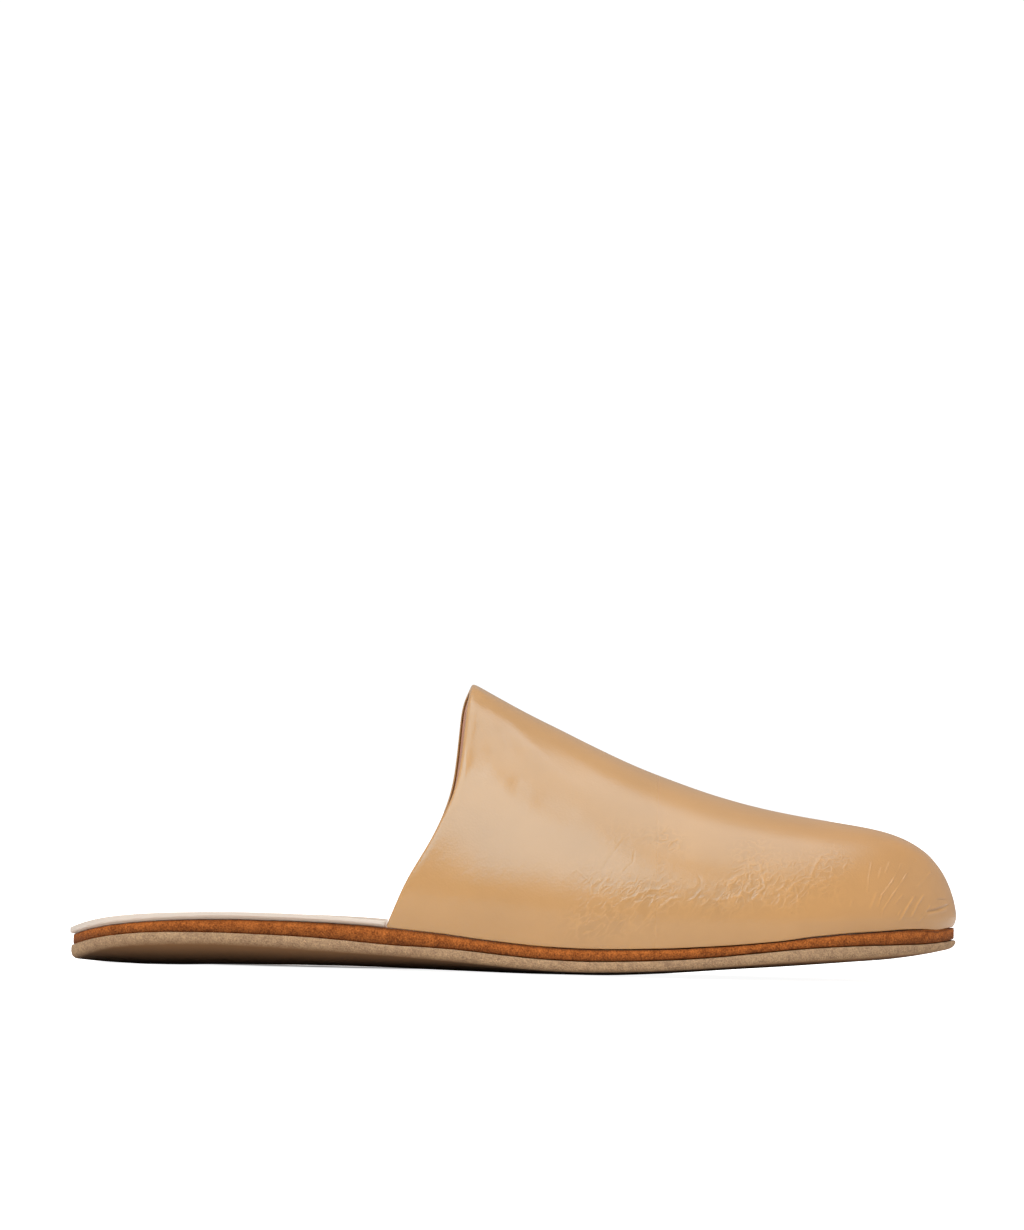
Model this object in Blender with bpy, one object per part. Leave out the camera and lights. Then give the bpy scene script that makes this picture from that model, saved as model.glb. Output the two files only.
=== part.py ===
"""Backless leather slipper for the right foot, standing empty on its sole.

Four pieces, named from the ground up: outsole, midsole, insole and a one-piece upper.
The upper is a hollow shell, open at the collar behind the instep and open underneath,
where the three sole layers close it.

Axes: +X points to the toe, +Y to the inner side of the foot, +Z up. The origin is on the
floor, under the middle of the slipper. The tables are in millimetres and measure x from
the back of the heel; place() turns them into metres.
"""
import math
from collections import namedtuple

import bmesh
import bpy
import numpy as np

MM = 0.001

LENGTH = 265.0                # heel edge of the insole to the bulge of the toe
OUTSOLE_THICKNESS = 3.0       # in the middle of the foot; the edge columns below vary it
MIDSOLE_THICKNESS = 3.2
INSOLE_THICKNESS = 1.4
UPPER_THICKNESS = 1.8
GAP = 0.4                     # upright, which leaves about 0.3 square to the curled edges

MIDSOLE_INSET = 0.6           # how far each piece stays inside the outsole's outline
INSOLE_OVERHANG = 0.45        # behind the collar the insole stands out past the outsole
INSOLE_INSET = 3.6            # in front of the collar it lies inside the upper's wall
UPPER_INSET = 0.9

HEEL_FAN_START = 60.0         # behind this x the ribs turn round the heel,
HEEL_POLE = 30.0              # about this point
TOE_FAN_START = 190.0         # in front of this x they turn round the toe,
TOE_POLE = 232.0              # about this one
FAN_RIBS = 12
POLE_SHARE = 0.5              # share of the fan's ribs that come before the pole
WAIST_RIBS = 18               # sole ribs between the two fans

CURL_POWER = 1.7              # how the sole curls up beyond its flat middle
RINGS = (0.0, 0.35, 0.52, 0.68, 0.82, 0.92, 1.0)

COLLAR_BASE = 94.7            # x where the collar meets the sole
BREAST_STEP = 0.3             # length over which the insole narrows, behind the collar
BREAST_CLEARANCE = 0.5
SIDE_RIBS = 19                # ribs of the upper from the collar to the toe's fan
TUCK_LEVELS = 3
DOME_LEVELS = 15

OUTER, INNER = -1, 1          # the two sides of a right shoe, as signs of y

SoleSection = namedtuple(
    "SoleSection", "x outer inner outer_rise inner_rise outsole_edge midsole_edge")
HEEL_BACK = SoleSection(0.45, 0.0, 0.0, 1.0, 1.0, 4.3, 2.5)
SOLE_SECTIONS = (
    # x, half widths, rises of the outsole's edge off the floor, thickness at the edge of
    # the outsole and of the midsole
    SoleSection(10.0, 22.5, 22.5, 5.3, 5.0, 3.0, 2.8),
    SoleSection(24.0, 30.5, 30.0, 7.2, 6.4, 2.6, 3.2),
    SoleSection(44.0, 33.0, 32.0, 7.8, 6.8, 2.4, 3.9),
    SoleSection(68.0, 33.5, 31.0, 7.3, 6.4, 2.4, 4.3),
    SoleSection(92.0, 35.5, 30.5, 5.7, 5.4, 2.6, 4.6),
    SoleSection(114.0, 38.5, 32.5, 4.0, 3.5, 2.8, 3.9),
    SoleSection(129.0, 41.5, 35.5, 2.6, 2.4, 2.9, 3.6),
    SoleSection(147.0, 44.5, 39.5, 1.4, 1.4, 3.0, 3.3),
    SoleSection(165.0, 46.3, 43.5, 1.7, 1.7, 3.0, 3.0),
    SoleSection(189.0, 45.5, 46.4, 3.3, 3.3, 3.0, 2.5),
    SoleSection(205.0, 43.8, 46.3, 5.0, 4.8, 3.0, 2.4),
    SoleSection(219.0, 41.0, 44.5, 6.5, 6.3, 3.0, 2.5),
    SoleSection(237.0, 33.5, 38.5, 7.8, 7.8, 2.9, 3.4),
    SoleSection(249.0, 25.0, 32.0, 8.7, 8.8, 2.6, 4.0),
    SoleSection(258.0, 14.5, 23.5, 9.6, 9.7, 2.5, 3.8),
)
TOE_TIP = SoleSection(264.9, -5.0, 5.0, 10.4, 10.4, 2.7, 2.9)

SpringPoint = namedtuple("SpringPoint", "x lift flat")
SOLE_SPRING = (
    # lift of the sole's middle line: flat heel, low arch, flat forefoot, toe spring;
    # flat: the share of the half width that lies flat before the sole curls up
    SpringPoint(0.0, 0.0, 0.35),
    SpringPoint(34.0, 0.0, 0.35),
    SpringPoint(48.0, 0.6, 0.35),
    SpringPoint(62.0, 1.2, 0.35),
    SpringPoint(84.0, 1.2, 0.35),
    SpringPoint(98.0, 0.7, 0.35),
    SpringPoint(115.0, 0.3, 0.35),
    SpringPoint(132.0, 0.0, 0.35),
    SpringPoint(160.0, 0.0, 0.35),
    SpringPoint(168.0, 0.4, 0.34),
    SpringPoint(177.0, 0.9, 0.29),
    SpringPoint(189.0, 1.8, 0.20),
    SpringPoint(205.0, 3.2, 0.10),
    SpringPoint(219.0, 4.6, 0.03),
    SpringPoint(232.0, 6.0, 0.00),
)

RidgePoint = namedtuple("RidgePoint", "x y z")
RIDGE = (
    # top line of the upper; the first two rows lie behind the collar and only guide it
    RidgePoint(90.4, 2.5, 100.9),
    RidgePoint(106.4, 2.5, 92.6),
    RidgePoint(118.6, 2.5, 86.2),
    RidgePoint(126.8, 2.5, 81.8),
    RidgePoint(133.3, 2.6, 78.4),
    RidgePoint(145.3, 2.8, 72.7),
    RidgePoint(157.3, 3.0, 67.1),
    RidgePoint(169.3, 3.2, 61.9),
    RidgePoint(181.2, 3.5, 57.6),
    RidgePoint(193.2, 4.0, 53.8),
    RidgePoint(205.2, 4.5, 50.8),
    RidgePoint(217.2, 5.0, 48.7),
    RidgePoint(232.2, 5.5, 46.6),
)

UpperSection = namedtuple("UpperSection", "x crown wall tuck tuck_height")
UPPER_SECTIONS = (
    # crown and wall: how square the section is at its top and at its sides, 2 for an
    # ellipse; tuck: how far the wall bulges past its foot, and how high up
    UpperSection(90.0, 1.90, 1.65, 1.6, 12.0),
    UpperSection(150.0, 2.05, 1.70, 1.5, 11.0),
    UpperSection(190.0, 2.35, 1.75, 1.3, 8.0),
    UpperSection(225.0, 2.80, 1.75, 1.1, 5.0),
    UpperSection(265.0, 3.45, 1.62, 1.0, 3.0),
)

CollarPoint = namedtuple("CollarPoint", "z inner outer")
COLLAR = (
    # x of the upper's rear edge at each height, on both sides of the foot
    CollarPoint(10.3, 94.3, 94.3),
    CollarPoint(12.9, 95.1, 95.1),
    CollarPoint(20.3, 97.5, 97.5),
    CollarPoint(28.3, 100.9, 100.9),
    CollarPoint(36.2, 105.3, 105.5),
    CollarPoint(45.2, 109.7, 110.2),
    CollarPoint(52.2, 112.2, 113.3),
    CollarPoint(65.2, 114.2, 115.9),
    CollarPoint(75.2, 115.2, 116.9),
    CollarPoint(81.2, 116.3, 117.6),
    CollarPoint(86.2, 118.6, 118.6),
)


def clear_scene():
    for old in list(bpy.data.objects):
        bpy.data.objects.remove(old)


def place(x, y, z):
    return ((x - LENGTH / 2) * MM, y * MM, z * MM)


# ---------------------------------------------------------------- smooth curves

def spline(knots, values, first=None, last=None):
    """Smooth curve through the values at the knots, as a function of the knot value."""
    knots = np.array(knots, float)
    values = np.array(values, float)
    span = np.diff(knots)
    secant = np.diff(values, axis=0) / span.reshape((-1,) + (1,) * (values.ndim - 1))
    count = len(knots)
    matrix = np.zeros((count, count))
    right = np.zeros_like(values)
    matrix[0, 0] = 1.0
    matrix[-1, -1] = 1.0
    right[0] = secant[0] if first is None else first
    right[-1] = secant[-1] if last is None else last
    for i in range(1, count - 1):
        matrix[i, i - 1] = span[i]
        matrix[i, i] = 2.0 * (span[i - 1] + span[i])
        matrix[i, i + 1] = span[i - 1]
        right[i] = 3.0 * (span[i] * secant[i - 1] + span[i - 1] * secant[i])
    slopes = np.linalg.solve(matrix, right)

    def curve(at):
        i = int(np.clip(np.searchsorted(knots, at) - 1, 0, count - 2))
        h = span[i]
        t = (at - knots[i]) / h
        return ((2 * t ** 3 - 3 * t ** 2 + 1) * values[i]
                + (t ** 3 - 2 * t ** 2 + t) * h * slopes[i]
                + (3 * t ** 2 - 2 * t ** 3) * values[i + 1]
                + (t ** 3 - t ** 2) * h * slopes[i + 1])

    return curve


def table_curve(table, column):
    return spline([row[0] for row in table], [getattr(row, column) for row in table])


def straight_curve(table, column):
    xs = [row.x for row in table]
    values = [getattr(row, column) for row in table]
    return lambda x: float(np.interp(x, xs, values))


# ---------------------------------------------------------------- the sole's form

def outline_side(side):
    """The outsole's outline along one side, sampled finely from heel back to toe tip.

    Columns: x, y, rise of the edge, edge thickness of the outsole and of the midsole.
    """
    name = "inner" if side == INNER else "outer"
    points = [(r.x, side * getattr(r, name), getattr(r, name + "_rise"), r.outsole_edge,
               r.midsole_edge) for r in (HEEL_BACK, *SOLE_SECTIONS, TOE_TIP)]
    steps = np.linalg.norm(np.diff(np.array(points)[:, :2], axis=0), axis=1)
    knots = np.concatenate(([0.0], np.cumsum(steps)))
    across = np.array((0.0, side, 0.0, 0.0, 0.0))
    curve = spline(knots, points, across, -across)
    fine = np.array([curve(t) for t in np.linspace(0.0, knots[-1], 3000)])
    fine[:, 0] = np.maximum.accumulate(fine[:, 0])
    return fine


OUTLINE = {OUTER: outline_side(OUTER), INNER: outline_side(INNER)}
SPRING = table_curve(SOLE_SPRING, "lift")
FLAT_SHARE = straight_curve(SOLE_SPRING, "flat")
RIDGE_Y = table_curve(RIDGE, "y")
RIDGE_Z = table_curve(RIDGE, "z")
SHAPE = {name: straight_curve(UPPER_SECTIONS, name)
         for name in ("crown", "wall", "tuck", "tuck_height")}
COLLAR_X = {INNER: table_curve(COLLAR, "inner"), OUTER: table_curve(COLLAR, "outer")}


class Rib:
    """A line in plan from the sole's middle line out to a point of its outline."""

    def __init__(self, side, spine_x, outline_x):
        fine = OUTLINE[side]
        y, rise, outsole_edge, midsole_edge = (
            float(np.interp(outline_x, fine[:, 0], fine[:, c])) for c in (1, 2, 3, 4))
        middle = [np.interp(spine_x, OUTLINE[s][:, 0], OUTLINE[s][:, 1])
                  for s in (OUTER, INNER)]
        self.side = side
        self.spine_x = spine_x
        self.outline_x = outline_x
        self.start = np.array((spine_x, sum(middle) / 2))
        self.end = np.array((outline_x, y))
        self.length = float(np.linalg.norm(self.end - self.start))
        self.lift = max(0.0, float(SPRING(spine_x)))
        self.flat = FLAT_SHARE(spine_x)
        self.rise = rise
        self.outsole_edge = outsole_edge
        self.midsole_edge = midsole_edge

    def share(self, inset):
        return 1.0 - inset / self.length

    def plan(self, share):
        return self.start + (self.end - self.start) * share

    def outward(self):
        return (self.end - self.start) / self.length

    def heights(self, share):
        """Heights of the sheets between the layers, from the floor up."""
        curl = max(0.0, (share - self.flat) / (1.0 - self.flat)) ** CURL_POWER
        under = self.lift + (self.rise - self.lift) * curl
        outsole = OUTSOLE_THICKNESS + (self.outsole_edge - OUTSOLE_THICKNESS) * curl
        outsole_top = under + outsole
        midsole = MIDSOLE_THICKNESS + (self.midsole_edge - MIDSOLE_THICKNESS) * curl
        midsole_top = outsole_top + GAP + midsole
        return {
            "outsole": (under, outsole_top),
            "midsole": (outsole_top + GAP, midsole_top),
            "insole": (midsole_top + GAP, midsole_top + GAP + INSOLE_THICKNESS),
        }


def fan_pairs(start, end, pole, count=FAN_RIBS):
    """(spine x, outline x) of the ribs that turn round one end, from start to its tip."""
    power = POLE_SHARE * (math.pi / 2) * (end - start) / (pole - start)
    pairs = []
    for k in range(1, count + 1):
        turn = k / count
        left = max(0.0, 1.0 - turn / POLE_SHARE)
        spine_x = start + (pole - start) * (1.0 - left ** power)
        pairs.append((spine_x, start + (end - start) * math.sin(turn * math.pi / 2)))
    return pairs


def sole_pairs():
    """(spine x, outline x) of the sole's ribs, from heel back to toe tip."""
    heel = fan_pairs(HEEL_FAN_START, HEEL_BACK.x, HEEL_POLE)
    toe = fan_pairs(TOE_FAN_START, TOE_TIP.x, TOE_POLE)
    waist = np.linspace(HEEL_FAN_START, TOE_FAN_START, WAIST_RIBS + 1)
    return heel[::-1] + [(float(x), float(x)) for x in waist] + toe


def insole_pairs():
    """The sole's ribs, with two more where the insole narrows behind the collar."""
    front = COLLAR_BASE - BREAST_CLEARANCE
    step = (front, front + BREAST_STEP)
    spacing = (TOE_FAN_START - HEEL_FAN_START) / WAIST_RIBS
    kept = [p for p in sole_pairs() if abs(p[1] - front) > spacing / 4]
    return sorted(kept + [(x, x) for x in step], key=lambda pair: pair[1])


# ---------------------------------------------------------------- building meshes

def finish_object(name, mesh_builder, colour, roughness):
    mesh = bpy.data.meshes.new(name)
    mesh_builder.to_mesh(mesh)
    mesh_builder.free()
    mesh.shade_smooth()
    mesh.set_sharp_from_angle(angle=math.radians(40))
    part = bpy.data.objects.new(name, mesh)
    bpy.context.scene.collection.objects.link(part)
    mesh.materials.append(make_material(name, colour, roughness))
    return part


def make_material(name, colour, roughness):
    material = bpy.data.materials.new(name + "_leather")
    material.use_nodes = True
    shader = material.node_tree.nodes["Principled BSDF"]
    shader.inputs["Base Color"].default_value = (*colour, 1.0)
    shader.inputs["Roughness"].default_value = roughness
    shader.inputs["Metallic"].default_value = 0.0
    return material


def add_layer_sheet(bm, pairs, layer, level, inset_at):
    """One face of a sole layer: a loop of vertices for each ring, from spine to edge.

    The loop runs from the heel's back along the outer side to the toe and home along
    the inner side. Ribs of both sides that leave the spine at one point share its vertex.
    """
    last = len(pairs) - 1
    order = [(OUTER, k) for k in range(last + 1)]
    order += [(INNER, k) for k in range(last - 1, 0, -1)]
    spine = {}
    rings = []
    for ring in RINGS:
        loop = []
        for side, k in order:
            rib = Rib(side, *pairs[k])
            share = ring * rib.share(inset_at(pairs[k][1]))
            z = rib.heights(share)[layer][level]
            x, y = rib.plan(share)
            if ring == 0.0:
                key = round(rib.spine_x, 3)
                if key not in spine:
                    spine[key] = bm.verts.new(place(x, y, z))
                loop.append(spine[key])
            else:
                loop.append(bm.verts.new(place(x, y, z)))
        rings.append(loop)
    return rings


def add_ring_faces(bm, rings, facing_up):
    """Fill a sheet between its rings."""
    count = len(rings[0])
    for inner, outer in zip(rings, rings[1:]):
        for i in range(count):
            j = (i + 1) % count
            corners = [outer[i], outer[j], inner[j], inner[i]]
            if inner[i] is inner[j]:
                corners.pop()
            bm.faces.new(corners if facing_up else corners[::-1])


def build_layer(name, pairs, inset_at, colour, roughness):
    """A sheet of leather between two curved faces, with a square-cut edge."""
    bm = bmesh.new()
    lower = add_layer_sheet(bm, pairs, name, 0, inset_at)
    upper = add_layer_sheet(bm, pairs, name, 1, inset_at)
    add_ring_faces(bm, lower, facing_up=False)
    add_ring_faces(bm, upper, facing_up=True)
    count = len(lower[-1])
    for i in range(count):
        j = (i + 1) % count
        bm.faces.new((lower[-1][i], lower[-1][j], upper[-1][j], upper[-1][i]))
    return finish_object(name, bm, colour, roughness)


def build_outsole():
    return build_layer("outsole", sole_pairs(), lambda x: 0.0, (0.43, 0.28, 0.17), 0.9)


def build_midsole():
    inset = lambda x: MIDSOLE_INSET
    return build_layer("midsole", sole_pairs(), inset, (0.44, 0.16, 0.05), 0.85)


def build_insole():
    def inset(x):
        behind_collar = x <= COLLAR_BASE - BREAST_CLEARANCE + 0.01
        return -INSOLE_OVERHANG if behind_collar else INSOLE_INSET

    return build_layer("insole", insole_pairs(), inset, (0.67, 0.53, 0.44), 0.5)


# ---------------------------------------------------------------- the upper

def upper_point(rib, level):
    """Point of the upper's outside on a rib; level 0 is its foot, 1 its top line."""
    crown, wall, tuck, tuck_height = (
        SHAPE[name](rib.outline_x) for name in ("crown", "wall", "tuck", "tuck_height"))
    share = rib.share(UPPER_INSET)
    foot = rib.plan(share)
    foot_z = rib.heights(share)["midsole"][1] + GAP
    levels = TUCK_LEVELS + DOME_LEVELS
    tuck_share = TUCK_LEVELS / levels
    if level <= tuck_share:
        up = level / tuck_share
        x, y = foot + rib.outward() * tuck * (1.0 - (1.0 - up) ** 2)
        return x, y, foot_z + tuck_height * up
    angle = (level - tuck_share) / (1.0 - tuck_share) * math.pi / 2
    across = max(0.0, math.cos(angle)) ** (2.0 / crown)
    height = math.sin(angle) ** (2.0 / wall)
    top = np.array((rib.spine_x, float(RIDGE_Y(rib.spine_x))))
    widest = foot + rib.outward() * tuck
    x, y = top + (widest - top) * across
    slope = float(RIDGE_Z(rib.spine_x + 0.5) - RIDGE_Z(rib.spine_x - 0.5))
    crown_z = float(RIDGE_Z(rib.spine_x)) + slope * (x - rib.spine_x)
    widest_z = foot_z + tuck_height
    return x, y, widest_z + (crown_z - widest_z) * height


def collar_lean(side, level):
    """How far in front of the collar's foot its edge lies at a level of the wall."""
    x = COLLAR_BASE
    for _ in range(30):
        z = upper_point(Rib(side, x, x), level)[2]
        x = 0.5 * x + 0.5 * float(COLLAR_X[side](z))
    return x - COLLAR_BASE


def upper_pairs():
    sides = np.linspace(COLLAR_BASE, TOE_FAN_START, SIDE_RIBS + 1)
    return [(float(x), float(x)) for x in sides] + fan_pairs(
        TOE_FAN_START, TOE_TIP.x, TOE_POLE)


def build_upper():
    """The upper's outer face as ribs from foot to top line, thickened inwards."""
    pairs = upper_pairs()
    levels = [k / (TUCK_LEVELS + DOME_LEVELS) for k in range(TUCK_LEVELS + DOME_LEVELS + 1)]
    lean = {side: [collar_lean(side, level) for level in levels] for side in (OUTER, INNER)}
    run = TOE_FAN_START - COLLAR_BASE
    last = len(pairs) - 1
    order = [(OUTER, k) for k in range(last + 1)]
    order += [(INNER, k) for k in range(last - 1, -1, -1)]

    bm = bmesh.new()
    top_line = {}
    ribs = []
    for side, k in order:
        spine_x, outline_x = pairs[k]
        fade = max(0.0, 1.0 - (outline_x - COLLAR_BASE) / run) ** 2
        column = []
        for level, forward in zip(levels, lean[side]):
            shift = forward * fade
            point = upper_point(Rib(side, spine_x + shift, outline_x + shift), level)
            if level == 1.0:
                key = round(spine_x, 3)
                if key not in top_line:
                    top_line[key] = bm.verts.new(place(*point))
                column.append(top_line[key])
            else:
                column.append(bm.verts.new(place(*point)))
        ribs.append(column)
    for here, ahead in zip(ribs, ribs[1:]):
        for j in range(len(levels) - 1):
            corners = [here[j], ahead[j], ahead[j + 1], here[j + 1]]
            if here[j + 1] is ahead[j + 1]:
                corners.pop()
            bm.faces.new(corners)

    upper = finish_object("upper", bm, (0.60, 0.37, 0.18), 0.35)
    wall = upper.modifiers.new("wall", "SOLIDIFY")
    wall.thickness = UPPER_THICKNESS * MM
    wall.offset = -1.0
    wall.use_even_offset = True
    return upper


def main():
    clear_scene()
    build_outsole()
    build_midsole()
    build_insole()
    build_upper()


main()
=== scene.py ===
"""Backless leather slipper for the right foot, standing empty on its sole.

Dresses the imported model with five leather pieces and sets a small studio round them.
Meshes are in metres in the model's own frame: +X to the toe, +Y to the inner side of the
foot, +Z up, floor at zero. The tables are in millimetres, with x counted from the back of
the heel and z from the floor, as a shoemaker would measure them.
"""

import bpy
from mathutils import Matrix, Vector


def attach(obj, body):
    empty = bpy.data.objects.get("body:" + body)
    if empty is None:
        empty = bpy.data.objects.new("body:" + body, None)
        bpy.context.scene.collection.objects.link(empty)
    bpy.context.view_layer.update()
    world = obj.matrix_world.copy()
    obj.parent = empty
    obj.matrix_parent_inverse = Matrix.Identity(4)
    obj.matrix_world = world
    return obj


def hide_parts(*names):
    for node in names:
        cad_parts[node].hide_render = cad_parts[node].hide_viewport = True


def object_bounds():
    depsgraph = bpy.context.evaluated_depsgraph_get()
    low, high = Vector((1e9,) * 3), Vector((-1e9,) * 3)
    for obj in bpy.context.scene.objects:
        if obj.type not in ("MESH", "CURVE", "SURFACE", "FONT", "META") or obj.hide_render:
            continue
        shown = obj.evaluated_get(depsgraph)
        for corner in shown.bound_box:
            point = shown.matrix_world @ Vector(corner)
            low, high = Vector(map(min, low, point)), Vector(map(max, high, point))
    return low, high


bl_info = {
    "name": "Leather slipper",
    "version": (1, 0, 0),
    "blender": (4, 5, 0),
    "location": "3D View > Sidebar > Slipper",
    "description": "Builds a backless leather slipper on its packed frame",
    "category": "Add Mesh",
}

import math
from collections import namedtuple
from contextlib import contextmanager
from functools import partial

import bmesh
import bpy
import numpy as np
from bpy.props import FloatProperty, FloatVectorProperty, PointerProperty
from mathutils import Quaternion, Vector, noise
from mathutils.bvhtree import BVHTree
from mathutils.kdtree import KDTree

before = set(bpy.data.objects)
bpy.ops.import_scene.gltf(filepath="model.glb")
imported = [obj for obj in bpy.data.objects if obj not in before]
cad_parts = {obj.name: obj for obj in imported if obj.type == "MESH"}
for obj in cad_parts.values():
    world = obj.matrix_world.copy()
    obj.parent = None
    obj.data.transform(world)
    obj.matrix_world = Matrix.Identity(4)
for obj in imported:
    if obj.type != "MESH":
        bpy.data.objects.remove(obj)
CAD_LOW, CAD_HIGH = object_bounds()

MM = 0.001
HEEL_X = CAD_LOW.x                       # the tables count from here

# ---------------------------------------------------------------- creases, in mm

Crease = namedtuple("Crease", "height width path")

# Flex creases on the outer wall over the ball of the foot: height of the fold (negative is
# a trough) before FOLD_TABLES scales it, half its width, and its path as (x, z).
VAMP_CREASES = (
    Crease(0.14, 0.50, ((164.5, 22.5), (168.5, 24.5), (171.5, 26.0), (176.5, 26.5))),
    Crease(-0.09, 0.75, ((166.0, 22.0), (174.0, 24.5), (179.0, 25.0))),
    Crease(0.10, 0.30, ((167.0, 26.0), (169.5, 29.0))),
    Crease(0.09, 0.30, ((168.5, 25.0), (170.5, 26.5))),
    Crease(0.13, 0.40, ((175.0, 20.5), (178.5, 23.5), (181.5, 24.0))),
    Crease(0.13, 0.40, ((183.5, 23.0), (185.5, 24.0), (187.5, 26.5))),
    Crease(0.11, 0.40, ((187.0, 24.0), (188.5, 24.5))),
    Crease(0.12, 0.50, ((191.0, 23.5), (194.0, 23.5))),
    Crease(0.10, 0.45, ((171.0, 16.5), (174.0, 18.0))),
    Crease(0.09, 0.40, ((161.0, 16.0), (164.5, 17.0))),
    Crease(0.08, 0.40, ((151.5, 19.5), (153.0, 20.0), (155.0, 22.0))),
    Crease(0.06, 0.45, ((148.5, 15.0), (156.0, 15.5))),
    Crease(0.07, 0.30, ((159.0, 18.0), (161.5, 20.5))),
    Crease(-0.08, 0.30, ((164.0, 31.0), (167.0, 34.0), (167.5, 37.5))),
    Crease(-0.08, 0.40, ((158.0, 31.5), (160.0, 35.0), (164.5, 41.0))),
    Crease(0.07, 0.30, ((159.0, 26.0), (159.5, 29.0), (159.0, 30.5))),
    Crease(0.06, 0.30, ((149.0, 30.5), (150.5, 31.5), (155.0, 27.5), (155.0, 24.0))),
    Crease(-0.07, 0.30, ((172.5, 39.5), (176.0, 42.5), (177.5, 45.0))),
    Crease(-0.06, 0.30, ((177.0, 37.5), (180.5, 41.0))),
    Crease(-0.06, 0.30, ((174.0, 33.5), (177.0, 34.0))),
    Crease(-0.08, 0.40, ((186.0, 31.0), (187.0, 29.5), (187.0, 27.5))),
    Crease(0.06, 0.70, ((176.5, 26.5), (181.0, 30.0))),
    Crease(0.15, 0.40, ((203.5, 36.5), (205.0, 32.0), (206.5, 27.5))),
    Crease(0.13, 0.40, ((202.0, 23.5), (206.0, 27.5))),
    Crease(0.11, 0.40, ((202.5, 39.0), (201.0, 36.0), (202.0, 30.0), (201.5, 24.0))),
    Crease(0.07, 0.40, ((203.0, 42.5), (203.0, 40.0))),
    Crease(0.15, 0.40, ((214.5, 30.0), (216.0, 25.0), (215.5, 19.5))),
    Crease(0.13, 0.40, ((216.5, 25.5), (218.5, 28.0), (221.0, 34.5), (223.5, 38.0))),
    Crease(0.08, 0.40, ((219.5, 28.0), (226.0, 31.0), (227.0, 38.0))),
    Crease(0.11, 0.40, ((209.5, 21.0), (210.5, 24.0), (210.5, 26.0))),
    Crease(0.12, 0.35, ((209.5, 26.0), (212.0, 28.5), (212.5, 31.5))),
    Crease(0.08, 0.30, ((212.5, 35.5), (213.0, 33.5))),
    Crease(0.09, 0.75, ((191.5, 23.5), (195.0, 24.0), (200.5, 25.5))),
    Crease(0.11, 1.35, ((191.5, 28.5), (195.5, 29.0), (201.0, 31.5))),
    Crease(-0.09, 0.90, ((195.0, 26.5), (201.0, 29.0))),
    Crease(0.07, 0.40, ((227.0, 28.0), (228.5, 22.5))),
    Crease(-0.08, 0.45, ((230.0, 35.0), (231.5, 37.0))),
)

# Folds where the leather is drawn in round the toe and lasted under.
TOE_PLEATS = (
    Crease(0.15, 0.25, ((238.0, 36.0), (237.0, 31.0), (236.5, 26.5))),
    Crease(0.20, 0.25, ((247.0, 35.5), (244.0, 30.0), (241.0, 26.0), (239.5, 21.5))),
    Crease(0.21, 0.25, ((251.5, 36.5), (248.0, 31.5), (244.5, 26.5), (241.5, 22.0),
                        (240.5, 18.0))),
    Crease(0.14, 0.45, ((239.5, 27.0), (237.5, 22.0))),
    Crease(0.10, 0.35, ((241.0, 34.5), (240.0, 31.0))),
    Crease(0.10, 0.35, ((243.5, 36.0), (242.0, 32.5))),
    Crease(0.14, 0.40, ((256.0, 33.0), (251.5, 28.5))),
    Crease(0.13, 0.25, ((247.5, 26.5), (245.0, 23.5))),
    Crease(0.24, 0.40, ((251.0, 26.0), (248.5, 22.0), (246.5, 18.5))),
    Crease(0.22, 0.35, ((254.0, 26.5), (252.0, 23.5), (250.0, 19.5))),
    Crease(0.24, 0.30, ((256.0, 23.5), (252.5, 18.5))),
    Crease(0.14, 0.25, ((247.0, 22.0), (246.0, 20.0))),
    Crease(-0.28, 0.40, ((255.0, 21.5), (258.0, 22.0), (262.0, 23.5))),
    Crease(0.15, 0.40, ((255.0, 20.5), (261.0, 22.0))),
    Crease(-0.15, 0.35, ((258.0, 25.0), (261.0, 25.0))),
    Crease(0.08, 0.25, ((231.0, 36.5), (229.5, 33.5))),
    Crease(0.10, 0.40, ((232.0, 24.5), (231.5, 22.5))),
)

# Lines along which the leather is only crinkled, too finely for folds of their own.
FLEX_LINES = (
    ((148.0, 41.0), (160.0, 44.0), (176.0, 41.0), (192.0, 38.0), (208.0, 38.5), (224.0, 38.0)),
    ((144.0, 17.0), (156.0, 13.5), (170.0, 13.0), (186.0, 15.0), (204.0, 18.0)),
)

# Broad soft hollows and swells: beside the collar, under the ridge and, last, over the toe.
SOFT_FORMS = (
    Crease(-0.45, 3.20, ((121.0, 74.5), (121.0, 67.0), (120.0, 60.0))),
    Crease(-0.48, 3.40, ((127.5, 73.5), (131.0, 64.0))),
    Crease(-0.28, 3.00, ((131.0, 57.5), (134.0, 54.5))),
    Crease(-0.30, 4.50, ((137.0, 52.0), (150.5, 46.0))),
    Crease(0.50, 3.50, ((117.5, 84.0), (119.5, 83.5), (122.5, 82.5))),
    Crease(0.50, 4.50, ((132.0, 70.5), (141.0, 62.0), (155.0, 52.0))),
    Crease(0.90, 7.00, ((244.0, 41.0), (251.5, 38.5), (257.5, 33.5))),
)

# The turned edge along the collar: a low rounded rim.
COLLAR_RIM = (
    Crease(0.07, 0.90, ((119.0, 80.5), (119.0, 74.0), (117.5, 62.0), (114.5, 51.0),
                        (110.5, 44.0))),
)

# How far the seam under the upper rises above an even line, or sinks below it where the
# height is negative, as (x, height).
SEAM_WAVE = ((94.0, 0.0), (112.0, 0.15), (122.0, -0.05), (134.0, -0.13), (148.0, 0.0),
             (180.0, 0.1), (188.0, 0.15), (198.0, 0.0), (212.0, 0.0), (220.0, 0.45),
             (231.0, 0.45), (241.0, 0.1), (248.0, 0.1), (254.0, -0.3), (258.5, -0.9),
             (261.5, -0.3), (264.2, 0.45))


# ---------------------------------------------------------------- colours

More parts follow.
